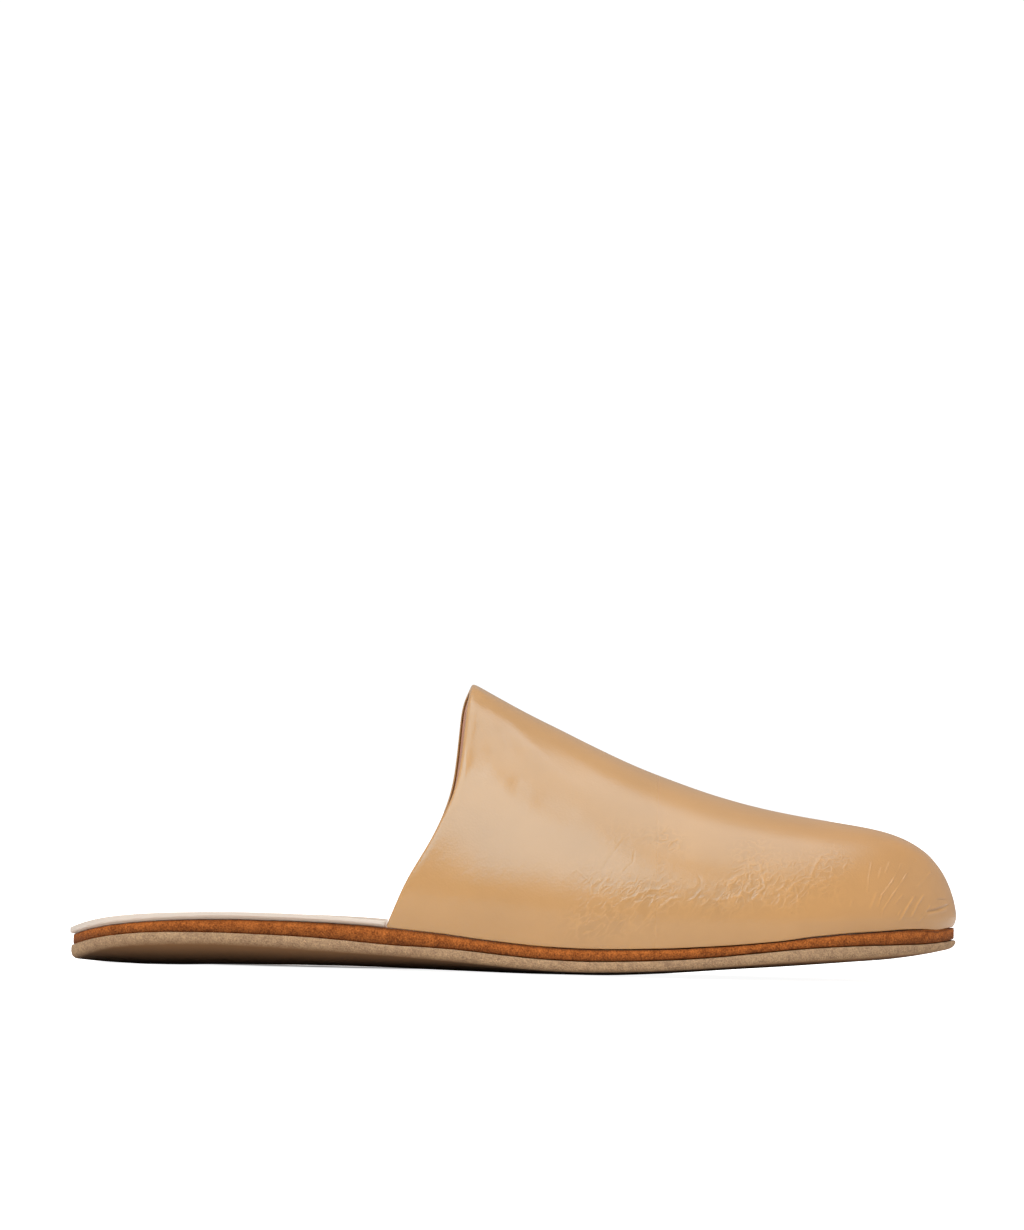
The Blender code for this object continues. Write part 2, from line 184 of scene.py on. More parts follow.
def linear(hex_colour):
    """Linear RGB of an sRGB hex colour."""
    parts = [int(hex_colour[i:i + 2], 16) / 255 for i in (1, 3, 5)]
    return tuple(p / 12.92 if p <= 0.04045 else ((p + 0.055) / 1.055) ** 2.4 for p in parts)


def colour_property(name, description, hex_colour):
    """A colour that a user may change."""
    return FloatVectorProperty(name=name, description=description, subtype="COLOR",
                               size=3, min=0.0, max=1.0, default=linear(hex_colour))


def length_property(name, description, millimetres):
    """A length that a user may change, with its default in millimetres."""
    return FloatProperty(name=name, description=description, subtype="DISTANCE",
                         unit="LENGTH", min=0.0, default=millimetres * MM)


# ---------------------------------------------------------------- settings

class UpperSettings(bpy.types.PropertyGroup):
    leather: colour_property("Leather", "Colour of the side wall and the instep", "#cb985d")
    forepart: colour_property("Forepart", "Colour towards the toe", "#cf9757")
    lining: colour_property("Lining", "Colour of the lining", "#d9a890")
    collar_turn: length_property("Collar turn", "Radius of the turned edge at the collar", 0.85)
    collar_inner_turn: length_property(
        "Inner collar turn", "Radius of the collar's edge on the lining's side", 0.30)
    foot_turn: length_property("Foot turn", "Radius of the upper's edge at the seam", 0.40)
    lining_margin: length_property(
        "Lining margin", "How far the lining stops short of the collar", 0.5)
    lining_thickness: length_property("Lining thickness", "Thickness of the lining", 0.45)
    crease_depth: FloatProperty(
        name="Crease depth", description="Strength of the creases, 1 for as worn",
        subtype="FACTOR", min=0.0, max=2.0, default=1.0)


class SoleSettings(bpy.types.PropertyGroup):
    insole: colour_property("Insole", "Colour of the insole", "#d5c4b3")
    midsole: colour_property("Midsole", "Colour of the midsole's cut edge", "#cd7634")
    outsole_edge: colour_property("Outsole edge", "Colour of the outsole's cut edge", "#c8a57f")
    underside: colour_property("Underside", "Colour of the outsole underneath", "#866140")
    insole_turn: length_property("Insole rounding", "Rounding of the insole's edge", 0.50)
    corner: length_property("Corners", "Rounding of the layers' other corners", 0.12)
    outsole_shoulder: length_property(
        "Outsole shoulder", "Rounding of the outsole's upper edge", 0.75)
    outsole_turn: length_property(
        "Outsole rounding", "Rounding of the outsole's lower edge", 1.7)
    fibre_length: length_property("Fibre length", "Mean length of the loose fibres", 0.55)


class StageSettings(bpy.types.PropertyGroup):
    floor: colour_property("Floor", "Colour of the floor", "#f4f3f1")
    distance: length_property("Camera distance", "From the lens to the slipper", 3000.0)
    height: length_property("Camera height", "Height of the lens above the floor", 55.0)
    floor_glow: FloatProperty(name="Floor glow", description="Light from within the floor",
                              min=0.0, default=0.95)
    key: FloatProperty(name="Key light", description="Power of the softbox in watts",
                       min=0.0, default=11.5)
    top: FloatProperty(name="Top light", description="Power of the overhead softbox in watts",
                       min=0.0, default=3.3)
    roll: FloatProperty(name="Roll", description="Turn of the camera about its own axis",
                        subtype="ANGLE", default=math.radians(1.404))


# ---------------------------------------------------------------- modelling tools

def select_only(piece):
    """Deselects everything else and makes one piece active."""
    bpy.ops.object.select_all(action="DESELECT")
    piece.select_set(True)
    bpy.context.view_layer.objects.active = piece


@contextmanager
def edit_mode(piece):
    """Edit mode on one piece, with nothing selected to start with."""
    select_only(piece)
    bpy.ops.object.mode_set(mode="EDIT")
    bpy.ops.mesh.select_all(action="DESELECT")
    yield
    bpy.ops.object.mode_set(mode="OBJECT")


def select(piece, kind, wanted):
    """Selects just the faces or edges that wanted() accepts, in edit mode."""
    bpy.ops.mesh.select_all(action="DESELECT")
    bpy.ops.mesh.select_mode(type=kind)
    mesh = bmesh.from_edit_mesh(piece.data)
    for item in [i for i in (mesh.faces if kind == "FACE" else mesh.edges) if wanted(i)]:
        item.select_set(True)
    mesh.select_flush_mode()
    bmesh.update_edit_mesh(piece.data)


def copy_node(node, name):
    """A merged copy of a CAD node's mesh, as quads, in an object of its own."""
    piece = bpy.data.objects.new(name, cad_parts[node].data.copy())
    bpy.context.scene.collection.objects.link(piece)
    piece.data.materials.clear()
    piece.data.name = name
    with edit_mode(piece):
        bpy.ops.mesh.select_all(action="SELECT")
        bpy.ops.mesh.customdata_custom_splitnormals_clear()
        bpy.ops.mesh.remove_doubles(threshold=1e-6)
        bpy.ops.mesh.tris_convert_to_quads(face_threshold=math.radians(40),
                                           shape_threshold=math.radians(80))
        bpy.ops.mesh.mark_sharp(clear=True)
        bpy.ops.mesh.faces_shade_smooth()
    return piece


def apply_modifier(piece, kind, **settings):
    """Adds one modifier and applies it."""
    select_only(piece)
    modifier = piece.modifiers.new(kind.title(), kind)
    for name, value in settings.items():
        setattr(modifier, name, value)
    bpy.ops.object.modifier_apply(modifier=modifier.name)


def subdivide_smoothly(piece, levels):
    apply_modifier(piece, "SUBSURF", levels=levels, render_levels=levels)


def dress(piece, materials, slot, *nodes):
    """Gives a finished piece its materials and ties it to the frame."""
    for material in materials:
        piece.data.materials.append(material)
    piece.data.shade_smooth()
    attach(piece, "root")
    if nodes:
        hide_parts(*nodes)


def attribute(piece, name, values):
    """Stores one number per vertex under a name that the material reads."""
    layer = piece.data.attributes.new(name, "FLOAT", "POINT")
    layer.data.foreach_set("value", np.asarray(values, np.float32))


def stored(piece, name):
    """Reads such numbers back."""
    values = np.zeros(len(piece.data.vertices))
    piece.data.attributes[name].data.foreach_get("value", values)
    return values


def vertex_places(piece):
    """The places of a piece's vertices, a row for each."""
    places = np.zeros(len(piece.data.vertices) * 3)
    piece.data.vertices.foreach_get("co", places)
    return places.reshape(-1, 3)


def vertex_normals(piece):
    """The directions that a piece's surface faces at its vertices, a row for each."""
    return np.array([v.normal for v in piece.data.vertices])


def move_vertices(piece, places):
    """Puts a piece's vertices at new places."""
    piece.data.vertices.foreach_set("co", places.ravel())
    piece.data.update()


def from_heel(places):
    """How far in front of the back of the heel each place lies, in mm."""
    return (places[:, 0] - HEEL_X) / MM


# ---------------------------------------------------------------- materials

def set_inputs(node, inputs):
    """Gives each input a constant or another node's output."""
    for socket, value in inputs.items():
        if isinstance(value, bpy.types.NodeSocket):
            node.id_data.links.new(value, node.inputs[socket])
        else:
            node.inputs[socket].default_value = value


def add_node(tree, kind, inputs=None, **settings):
    """Adds a shader node with its settings, its constants and its links."""
    made = tree.nodes.new("ShaderNode" + kind)
    for name, value in settings.items():
        setattr(made, name, value)
    set_inputs(made, inputs or {})
    return made


def new_material(name):
    """A new material, what adds nodes to it, and its shader."""
    material = bpy.data.materials.new(name)
    material.use_nodes = True
    tree = material.node_tree
    return material, partial(add_node, tree), tree.nodes["Principled BSDF"]


def per_metre(millimetres):
    """Texture scale at which one cell is that wide."""
    return 1.0 / (millimetres * MM)


def rgba(colour, strength=1.0):
    """A linear colour, made darker or lighter, as a socket takes it."""
    return (*[c * strength for c in colour], 1.0)


WHITE = (1.0, 1.0, 1.0, 1.0)
BLACK = (0.0, 0.0, 0.0, 1.0)


def nappa_leather(colours):
    """Sheep nappa, drum dyed and lightly finished: a broad soft sheen over fine pores.
    Pores and grain are drawn several times wider than real ones, so that they show."""
    material, add, shader = new_material("nappa_leather_drum_dyed")
    place = add("TexCoord").outputs["Object"]
    along = add("SeparateXYZ", {0: place}).outputs["X"]
    to_toe = add("MapRange", {"Value": along, "From Min": 0.045, "From Max": 0.125},
                 interpolation_type="SMOOTHSTEP").outputs["Result"]
    tone = add("Mix", {0: to_toe, 6: rgba(colours.leather), 7: rgba(colours.forepart)},
               data_type="RGBA").outputs[2]
    # Hides take the dye a little unevenly, in clouds some three centimetres wide.
    cloud = add("TexNoise", {"Vector": place, "Scale": per_metre(28),
                             "Detail": 3.0}).outputs["Fac"]
    shade = add("MapRange", {"Value": cloud, "From Min": 0.3, "From Max": 0.7,
                             "To Min": 0.95, "To Max": 1.05}).outputs["Result"]
    tinted = add("VectorMath", {0: tone, 3: shade}, operation="SCALE").outputs[0]
    # Painted highlight and shade: the crests of the creases are painted lighter and their troughs
    # darker, as light would fall on them.
    fold = add("Attribute", attribute_name="crease").outputs["Fac"]
    lift = add("MapRange", {"Value": fold, "From Min": -0.3, "From Max": 0.3,
                            "To Min": 0.8, "To Max": 1.2}).outputs["Result"]
    # worn holds the colour with that painted highlight and shade.
    worn = add("VectorMath", {0: tinted, 3: lift}, operation="SCALE").outputs[0]
    pores = add("TexVoronoi", {"Vector": place, "Scale": per_metre(0.7)}).outputs["Distance"]
    grain = add("TexNoise", {"Vector": place, "Scale": per_metre(2.2),
                             "Detail": 4.0}).outputs["Fac"]
    bump = add("Bump", {"Height": pores, "Strength": 0.10, "Distance": 0.0002})
    bump = add("Bump", {"Height": grain, "Strength": 0.15, "Distance": 0.0003,
                        "Normal": bump.outputs["Normal"]})
    # Flex wrinkles, finer and finer, drawn out along a line that rises to the toe.
    slant = add("Mapping", {"Vector": place, "Rotation": (0.0, -0.87, 0.0),
                            "Scale": (2.2, 1.0, 1.0)}, vector_type="TEXTURE").outputs["Vector"]
    wrinkle = add("TexNoise", {"Vector": slant, "Scale": per_metre(1.7), "Detail": 2.0,
                               "Roughness": 0.5, "Lacunarity": 2.2, "Offset": 1.0, "Gain": 1.0,
                               "Distortion": 0.5}, noise_type="RIDGED_MULTIFRACTAL",
                  normalize=False).outputs["Fac"]
    flex = add("Attribute", attribute_name="flex").outputs["Fac"]
    # Painted highlight and shade: where the leather flexes, the wrinkles' crests are painted
    # lighter and the rest a little darker, so that they show as light strokes.
    wrinkle_light_and_shade = add("MapRange", {"Value": wrinkle, "From Min": 0.7, "From Max": 1.6,
                             "To Min": -0.07, "To Max": 0.10}).outputs["Result"]
    painted_wrinkle_light = add("Math", {0: flex, 1: wrinkle_light_and_shade, 2: 1.0}, operation="MULTIPLY_ADD").outputs[0]
    colour = add("VectorMath", {0: worn, 3: painted_wrinkle_light}, operation="SCALE").outputs[0]
    bump = add("Bump", {"Height": wrinkle, "Strength": flex, "Distance": 0.00007,
                        "Normal": bump.outputs["Normal"]})
    # Smoother by the collar than towards the toe, where flexing has dulled the finish.
    roughness = add("MapRange", {"Value": along, "From Min": -0.01, "From Max": 0.06,
                                 "To Min": 0.20, "To Max": 0.30}).outputs["Result"]
    # A finish has an IOR near 1.5: the rest and the cool tint bring out its pale sheen.
    set_inputs(shader, {"Base Color": colour, "Normal": bump.outputs["Normal"],
                        "Roughness": roughness, "IOR": 1.73,
                        "Specular Tint": (0.25, 0.74, 1.0, 1.0)})
    return material


def seam_shade_edge():
    """Cut edge of the upper where it turns under into the seam, painted dark brown as painted
    shade in the seam's gap: a fine brown line.
    """
    material, add, shader = new_material("upper_edge_seam_shade")
    set_inputs(shader, {"Base Color": rgba(linear("#6a3410")), "Roughness": 0.9,
                        "Specular IOR Level": 0.1})
    return material


def lining_leather(colours):
    """Thin split lining, lightly napped: matt, pink-brown. The nap is drawn coarser than a
    real one, so that it shows."""
    material, add, shader = new_material("lining_leather_split")
    place = add("TexCoord").outputs["Object"]
    nap = add("TexNoise", {"Vector": place, "Scale": per_metre(1.2),
                           "Detail": 5.0}).outputs["Fac"]
    tone = add("Mix", {0: nap, 6: rgba(colours.lining, 0.85), 7: rgba(colours.lining, 1.12)},
               data_type="RGBA").outputs[2]
    bump = add("Bump", {"Height": nap, "Strength": 0.3, "Distance": 0.0003})
    set_inputs(shader, {"Base Color": tone, "Normal": bump.outputs["Normal"], "Roughness": 0.8})
    return material


def insole_leather(colours):
    """Vegetable tanned calf, undyed and polished matt: pale, pinkish, very smooth, with
    pores drawn wider than real ones. Its cut edge is painted lighter, a painted light on a
    side that the lamps reach little, and darker brown along its foot, a painted shade where
    it meets the midsole."""
    material, add, shader = new_material("insole_leather_veg_tanned")
    place = add("TexCoord").outputs["Object"]
    cloud = add("TexNoise", {"Vector": place, "Scale": per_metre(18),
                             "Detail": 4.0}).outputs["Fac"]
    tone = add("Mix", {0: cloud, 6: rgba(colours.insole, 0.95), 7: rgba(colours.insole, 1.04)},
               data_type="RGBA").outputs[2]
    rise = add("Attribute", attribute_name="rise").outputs["Fac"]
    # Painted shade: the foot of the cut edge is painted dark brown where it meets the midsole, as
    # the joint's shadow.
    joint_shade = add("MapRange", {"Value": rise, "From Min": 0.0, "From Max": 0.10,
                               "To Min": 1.0, "To Max": 0.0}).outputs["Result"]
    # Painted light: the side of the cut edge is painted lighter than the leather's top, as if
    # more light fell on it.
    cut = add("Attribute", attribute_name="cut").outputs["Fac"]
    edge = add("Mix", {0: cut, 6: tone, 7: rgba(linear("#e0d1c3"))}, data_type="RGBA").outputs[2]
    edge = add("Mix", {0: joint_shade, 6: edge, 7: rgba(linear("#b07848"))},
               data_type="RGBA").outputs[2]
    pores = add("TexVoronoi", {"Vector": place, "Scale": per_metre(0.6)}).outputs["Distance"]
    bump = add("Bump", {"Height": pores, "Strength": 0.12, "Distance": 0.0002})
    set_inputs(shader, {"Base Color": edge, "Normal": bump.outputs["Normal"], "Roughness": 0.55})
    return material


def cut_edge_leather(name, light, dark, rest, worn, top, foot):
    """Sole leather with a raw cut edge: a dense mat of short fibres, light and dark, drawn
    half a millimetre wide so that they show. rest colours what lies away from the edge, and
    worn is a painted shade, the dark that the leather takes near the floor where the sole
    stands in its own shadow. top and foot give where along the rise of the edge its painted
    shade starts and ends, and how much light is left there."""
    material, add, shader = new_material(name)
    place = add("TexCoord").outputs["Object"]
    rise = add("Attribute", attribute_name="rise").outputs["Fac"]
    cut = add("Attribute", attribute_name="cut").outputs["Fac"]
    tint = add("Attribute", attribute_name="tint").outputs["Fac"]
    fibre = add("TexNoise", {"Vector": place, "Scale": per_metre(0.5),
                             "Detail": 3.0}).outputs["Fac"]
    patch = add("TexNoise", {"Vector": place, "Scale": per_metre(2.6),
                             "Detail": 3.0}).outputs["Fac"]
    mixed = add("Math", {0: patch, 1: 0.6, 2: -0.3}, operation="MULTIPLY_ADD").outputs[0]
    mixed = add("Math", {0: fibre, 1: mixed}, operation="ADD").outputs[0]
    speck = add("MapRange", {"Value": mixed,
                             "From Min": 0.28, "From Max": 0.70}).outputs["Result"]
    edge = add("Mix", {0: speck, 6: rgba(dark), 7: rgba(light)}, data_type="RGBA").outputs[2]
    jitter = add("Math", {0: fibre, 1: 0.5, 2: -0.25}, operation="MULTIPLY_ADD").outputs[0]
    ragged = add("Math", {0: rise, 1: jitter}, operation="ADD").outputs[0]
    for start, end, left in (top, foot):
        shade = add("MapRange", {"Value": ragged, "From Min": start, "From Max": end,
                                 "To Min": 1.0, "To Max": left}).outputs["Result"]
        edge = add("VectorMath", {0: edge, 3: shade}, operation="SCALE").outputs[0]
    edge = add("VectorMath", {0: edge, 3: tint}, operation="SCALE").outputs[0]
    # Painted shade: within about six millimetres of the floor the colour fades to worn, standing
    # in for the shadow where the sole meets the floor.
    height = add("SeparateXYZ", {0: place}).outputs["Z"]
    floor_shade = add("MapRange", {"Value": height, "From Min": 0.0005, "From Max": 0.006,
                            "To Min": 1.0, "To Max": 0.0}).outputs["Result"]
    under = add("Mix", {0: floor_shade, 6: rgba(rest), 7: rgba(worn)}, data_type="RGBA").outputs[2]
    colour = add("Mix", {0: cut, 6: under, 7: edge}, data_type="RGBA").outputs[2]
    depth = add("Math", {0: cut, 1: 0.8}, operation="MULTIPLY").outputs[0]
    bump = add("Bump", {"Height": fibre, "Strength": depth, "Distance": 0.0006})
    set_inputs(shader, {"Base Color": colour, "Normal": bump.outputs["Normal"], "Roughness": 0.85,
                        "Specular IOR Level": 0.25})
    return material


# ---------------------------------------------------------------- the upper

SHARP = math.radians(50)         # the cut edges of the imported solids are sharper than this
OUTSIDE, EDGE, MARGIN, BED = range(4)    # marks for the faces of the upper while it is made
OUTER, INNER = -1, 1             # the two sides of a right shoe, as signs of y
METRE = 1000.0                   # in mm: as the height of a crease it gives its plain shape

FAR_OUT = 0.2                    # a y well past the slipper's sides
COLLAR_FRONT = -0.010            # the collar's edge lies behind this x
COLLAR_FOOT = 95.1               # where it meets the seam, from the heel
SEAM_DROP = 0.19 * MM            # closes the seam below the upper to a fine line
SEAM_HEIGHT = 15.5               # of the seam over the toe, in mm
WAVE_FADE = 7.0                  # how far above it the seam's wave is felt, in mm
COLLAR_FLARE = 1.2 * MM          # how far the collar's foot runs out towards the heel,
FLARE_LEVEL, FLARE_FADE_UP, FLARE_FADE_ALONG = 10.0, 14.0, 18.0    # and its fades, in mm

LINING_PLAY = 0.05 * MM          # between the lining and the bottom of its bed
LINING_GAP = 0.35 * MM           # between the lining's edge and the wall of its bed

# A fold: its strength at its two ends, and the dip along its sides, with its spread.
FOLD_END, SIDE_DIP, SIDE_SPREAD = 0.35, 0.3, 2.2
# On the inner side the folds are weaker, wider and shifted along the foot, in mm.
INNER_STRENGTH, INNER_WIDTH, INNER_WANDER = 0.8, 1.1, 0.6
VAMP_SHIFT, PLEAT_SHIFT, SOFT_SHIFT = -3.0, 1.5, 2.0
# Each table of fine folds, the shift of the inner side's copy, and its strength.
FOLD_TABLES = ((VAMP_CREASES, VAMP_SHIFT, 0.70), (TOE_PLEATS, PLEAT_SHIFT, 1.45),
               (COLLAR_RIM, 0.0, 1.0))
FLEX_WIDTH, FLEX_FULL = 7.0, 1.5     # how far crinkles reach round a crease, and where full
# The skin's slow unevenness: waves, each with its height and its width in mm.
SKIN_WAVES = ((0.12, 22.0), (0.025, 8.0))


def unevenness(place, waves):
    """Smooth noise at a place, summed over waves of a height and a width."""
    return sum(height * noise.noise(Vector(place) * per_metre(width))
               for height, width in waves)


def spread(start):
    """Faces reached from one face without crossing a sharp edge."""
    found, fringe = {start}, [start]
    while fringe:
        for edge in fringe.pop().edges:
            if edge.calc_face_angle() < SHARP:
                new = [f for f in edge.link_faces if f not in found]
                found.update(new)
                fringe.extend(new)
    return found


def mark_upper_faces(mesh):
    """Tells the outer skin, the inner skin and the rim between them apart."""
    outside, inside = (spread(max((f for f in mesh.faces if f.normal.z * way > 0.3),
                                  key=lambda f: f.calc_center_median().z))
                       for way in (1, -1))
    for face in mesh.faces:
        face.material_index = (OUTSIDE if face in outside else
                               MARGIN if face in inside else EDGE)


def between(edge, *marks):
    """True for an edge whose faces bear just these marks."""
    return sorted({f.material_index for f in edge.link_faces}) == sorted(marks)


def rim_normal(edge):
    """Where the rim faces beside an edge; down, where there is no rim."""
    rim = [f for f in edge.link_faces if f.material_index == EDGE]
    return rim[0].normal if rim else Vector((0, 0, -1))


def at_collar(edge):
    """True for an edge of the collar, which is the part of the rim that stands up."""
    low, high = (v.co for v in edge.verts)
    return max(low.x, high.x) < COLLAR_FRONT and abs(rim_normal(edge).z) < 0.9


def path_on_wall(path, side, wall):
    """Throws the points of a crease sideways on to the upper's wall."""
    found = []
    for x, z in path:
        start = Vector((HEEL_X + x * MM, side * FAR_OUT, z * MM))
        hit = wall.ray_cast(start, Vector((0.0, -side, 0.0)))[0]
        if hit is not None:
            found.append(np.array(hit))
    return found


def crease_heights(places, table, side, wall):
    """Height of the creases at each place, in metres, for one side of the foot."""
    total = np.zeros(len(places))
    for crease in table:
        path = path_on_wall(crease.path, side, wall)
        if len(path) < 2:
            continue
        width = crease.width * MM
        low, high = np.min(path, axis=0) - 4 * width, np.max(path, axis=0) + 4 * width
        near = np.all((places > low) & (places < high), axis=1)
        points = places[near]
        lengths = [np.linalg.norm(b - a) for a, b in zip(path, path[1:])]
        best, along, done = np.full(len(points), 1.0), np.zeros(len(points)), 0.0
        for a, b, length in zip(path, path[1:], lengths):
            t = np.clip((points - a) @ (b - a) / length ** 2, 0.0, 1.0)
            gap = np.linalg.norm(points - (a + t[:, None] * (b - a)), axis=1)
            along = np.where(gap < best, (done + t * length) / sum(lengths), along)
            best = np.minimum(gap, best)
            done += length
        ends = np.clip(FOLD_END + 4.0 * along * (1.0 - along), 0.0, 1.0)
        dip = SIDE_DIP * np.exp(-(best / (SIDE_SPREAD * width)) ** 2)
        total[near] += crease.height * MM * ends * (np.exp(-(best / width) ** 2) - dip)
    return total


def surface_tree(piece):
    """A search tree of a piece's faces."""
    return BVHTree.FromPolygons([v.co for v in piece.data.vertices],
                                [p.vertices for p in piece.data.polygons])


def mirrored(table, shift):
    """The creases as the other side of the foot wears them: alike, never the same."""
    return [Crease(INNER_STRENGTH * c.height, INNER_WIDTH * c.width,
                   [(x + shift * math.cos(i), z + INNER_WANDER * math.sin(2 * i))
                    for x, z in c.path])
            for i, c in enumerate(table)]


def both_sides(places, table, shift, wall):
    """Height of a table's creases on the outer side and of their copies on the inner."""
    return crease_heights(places, table, OUTER, wall) + crease_heights(
        places, mirrored(table, shift), INNER, wall)


def seam_wave(places):
    """How far the seam rises or sinks at each place, in metres: half as far inside."""
    x, height = np.array(SEAM_WAVE).T
    wave = np.interp(from_heel(places), x, height)
    return wave * MM * np.where(places[:, 1] < 0.0, 1.0, 0.5)


def folds(side, reach=None):
    """The fine creases of one side of the foot; with a reach, as plain bands that wide."""
    found = []
    for table, shift, strength in FOLD_TABLES:
        if side == INNER:
            table = mirrored(table, shift)
        found += [Crease(strength * c.height if reach is None else METRE,
                         reach or c.width, c.path) for c in table]
    return found


def refine_near_creases(upper, reach, sides):
    """Splits the outer skin once more wherever a crease runs within about reach, in mm."""
    wall, places = surface_tree(upper), vertex_places(upper)
    near = sum(crease_heights(places, folds(side, reach), side, wall) for side in sides) > 0.25
    with edit_mode(upper):
        select(upper, "FACE", lambda f: f.material_index == OUTSIDE
               and any(near[v.index] for v in f.verts))
        bpy.ops.mesh.subdivide(number_cuts=1, smoothness=1.0)


def crease_upper(upper, settings):
    """Moves the outer skin along its normals into creases, pleats and soft forms."""
    wall, places = surface_tree(upper), vertex_places(upper)
    skin = np.zeros(len(places), bool)
    for face in upper.data.polygons:
        if face.material_index == OUTSIDE:
            skin[list(face.vertices)] = True
    fine = crease_heights(places, folds(OUTER), OUTER, wall) + crease_heights(
        places, folds(INNER), INNER, wall)
    broad = both_sides(places, SOFT_FORMS, SOFT_SHIFT, wall)
    flexed = [Crease(METRE, FLEX_WIDTH, path)
              for path in [c.path for c in VAMP_CREASES] + list(FLEX_LINES)]
    flex = both_sides(places, flexed, VAMP_SHIFT, wall)
    wander = MM * np.array([unevenness(p, SKIN_WAVES) for p in places])
    move = np.where(skin, (fine + broad) * settings.crease_depth + wander, 0.0)
    move_vertices(upper, places + vertex_normals(upper) * move[:, None])
    # The crease heights and the flex mask also steer the leather's painted highlight and shade on
    # its creases and wrinkles.
    attribute(upper, "crease", np.where(skin, fine / MM, 0.0))
    attribute(upper, "flex", np.clip(flex / FLEX_FULL, 0.0, 1.0))


def settle_foot(piece):
    """Lets the seam wave, and the collar's foot run out towards the heel."""
    places = vertex_places(piece)
    above = places[:, 2] / MM - SEAM_HEIGHT
    places[:, 2] += seam_wave(places) * np.clip(1.0 - above / WAVE_FADE, 0.0, 1.0) ** 2
    above = places[:, 2] / MM - FLARE_LEVEL
    ahead = from_heel(places) - COLLAR_FOOT
    near_floor = np.clip(1.0 - above / FLARE_FADE_UP, 0.0, 1.0) ** 2
    near_collar = np.clip(1.0 - ahead / FLARE_FADE_ALONG, 0.0, 1.0)
    places[:, 0] -= COLLAR_FLARE * near_floor * near_collar
    move_vertices(piece, places)


def cut_lining_bed(upper, settings):
    """Sinks a shallow bed into the inner skin and leaves its bottom selected."""
    select(upper, "FACE", lambda f: f.material_index == MARGIN)
    bpy.ops.mesh.inset(thickness=settings.lining_margin, use_boundary=True)
    bpy.ops.mesh.extrude_region_shrink_fatten(TRANSFORM_OT_shrink_fatten={
        "value": -(settings.lining_thickness + 2 * LINING_PLAY)})
    for face in bmesh.from_edit_mesh(upper.data).faces:
        if face.select:
            face.material_index = BED


def turn_upper_edges(upper, settings):
    """Keeps the bed's corners sharp, and rounds the edges of the collar and the foot."""
    select(upper, "EDGE", lambda e: between(e, MARGIN, BED) or
           (between(e, BED) and e.calc_face_angle() > SHARP))
    bpy.ops.transform.edge_crease(value=1.0)
    for turn, side, collar in ((settings.collar_turn, OUTSIDE, True),
                               (settings.collar_inner_turn, MARGIN, True),
                               (settings.foot_turn, OUTSIDE, False),
                               (settings.foot_turn, MARGIN, False)):
        select(upper, "EDGE", lambda e: at_collar(e) == collar and between(e, side, EDGE))
        bpy.ops.mesh.bevel(offset=turn, segments=2, affect="EDGES", clamp_overlap=True)


def finish_lining(lining, settings):
    """Makes the lining out of the copied bottom of its bed."""
    with edit_mode(lining):
        bpy.ops.mesh.select_all(action="SELECT")
        bpy.ops.transform.shrink_fatten(value=LINING_PLAY)
        bpy.ops.mesh.inset(thickness=LINING_GAP, use_boundary=True)
        bpy.ops.mesh.select_all(action="INVERT")
        bpy.ops.mesh.delete(type="FACE")
    apply_modifier(lining, "SOLIDIFY", thickness=settings.lining_thickness, offset=1.0)
    with edit_mode(lining):
        select(lining, "EDGE", lambda e: e.calc_face_angle() > SHARP)
        bpy.ops.transform.edge_crease(value=1.0)
    subdivide_smoothly(lining, 2)
    settle_foot(lining)
    for face in lining.data.polygons:
        face.material_index = 0
    dress(lining, [lining_leather(settings)], "upper")


class SLIPPER_OT_upper(bpy.types.Operator):
    """Upper: a one-piece leather shell with a turned collar, its creases, and its lining"""
    bl_idname = "slipper.upper"
    bl_label = "Upper and lining"

    def execute(self, context):
        settings = context.scene.slipper_upper
        upper = copy_node("upper", "upper_leather")
        with edit_mode(upper):
            mark_upper_faces(bmesh.from_edit_mesh(upper.data))
            select(upper, "FACE", lambda f: f.material_index == EDGE and f.normal.z < -0.8)
            bpy.ops.transform.translate(value=(0.0, 0.0, -SEAM_DROP))
            cut_lining_bed(upper, settings)
            bpy.ops.mesh.duplicate()
            bpy.ops.mesh.separate(type="SELECTED")
            turn_upper_edges(upper, settings)
        lining = next(o for o in context.selected_objects if o != upper)
        lining.name = lining.data.name = "upper_lining"
        subdivide_smoothly(upper, 2)
        for reach, sides in ((2.5, (OUTER, INNER)), (0.9, (OUTER,)), (0.35, (OUTER,))):
            refine_near_creases(upper, reach, sides)
        crease_upper(upper, settings)
        settle_foot(upper)
        # Faces of the cut edge that turn under into the seam take the second material, the
        # painted shade of the seam.
        for face in upper.data.polygons:
            face.material_index = int(face.material_index == EDGE and face.normal.z < -0.3)
        dress(upper, [nappa_leather(settings), seam_shade_edge()], "upper", "upper")
        finish_lining(lining, settings)
        return {"FINISHED"}


# ---------------------------------------------------------------- the sole

CORNER = math.radians(35)        # the corners of a layer's cut edge are sharper than this

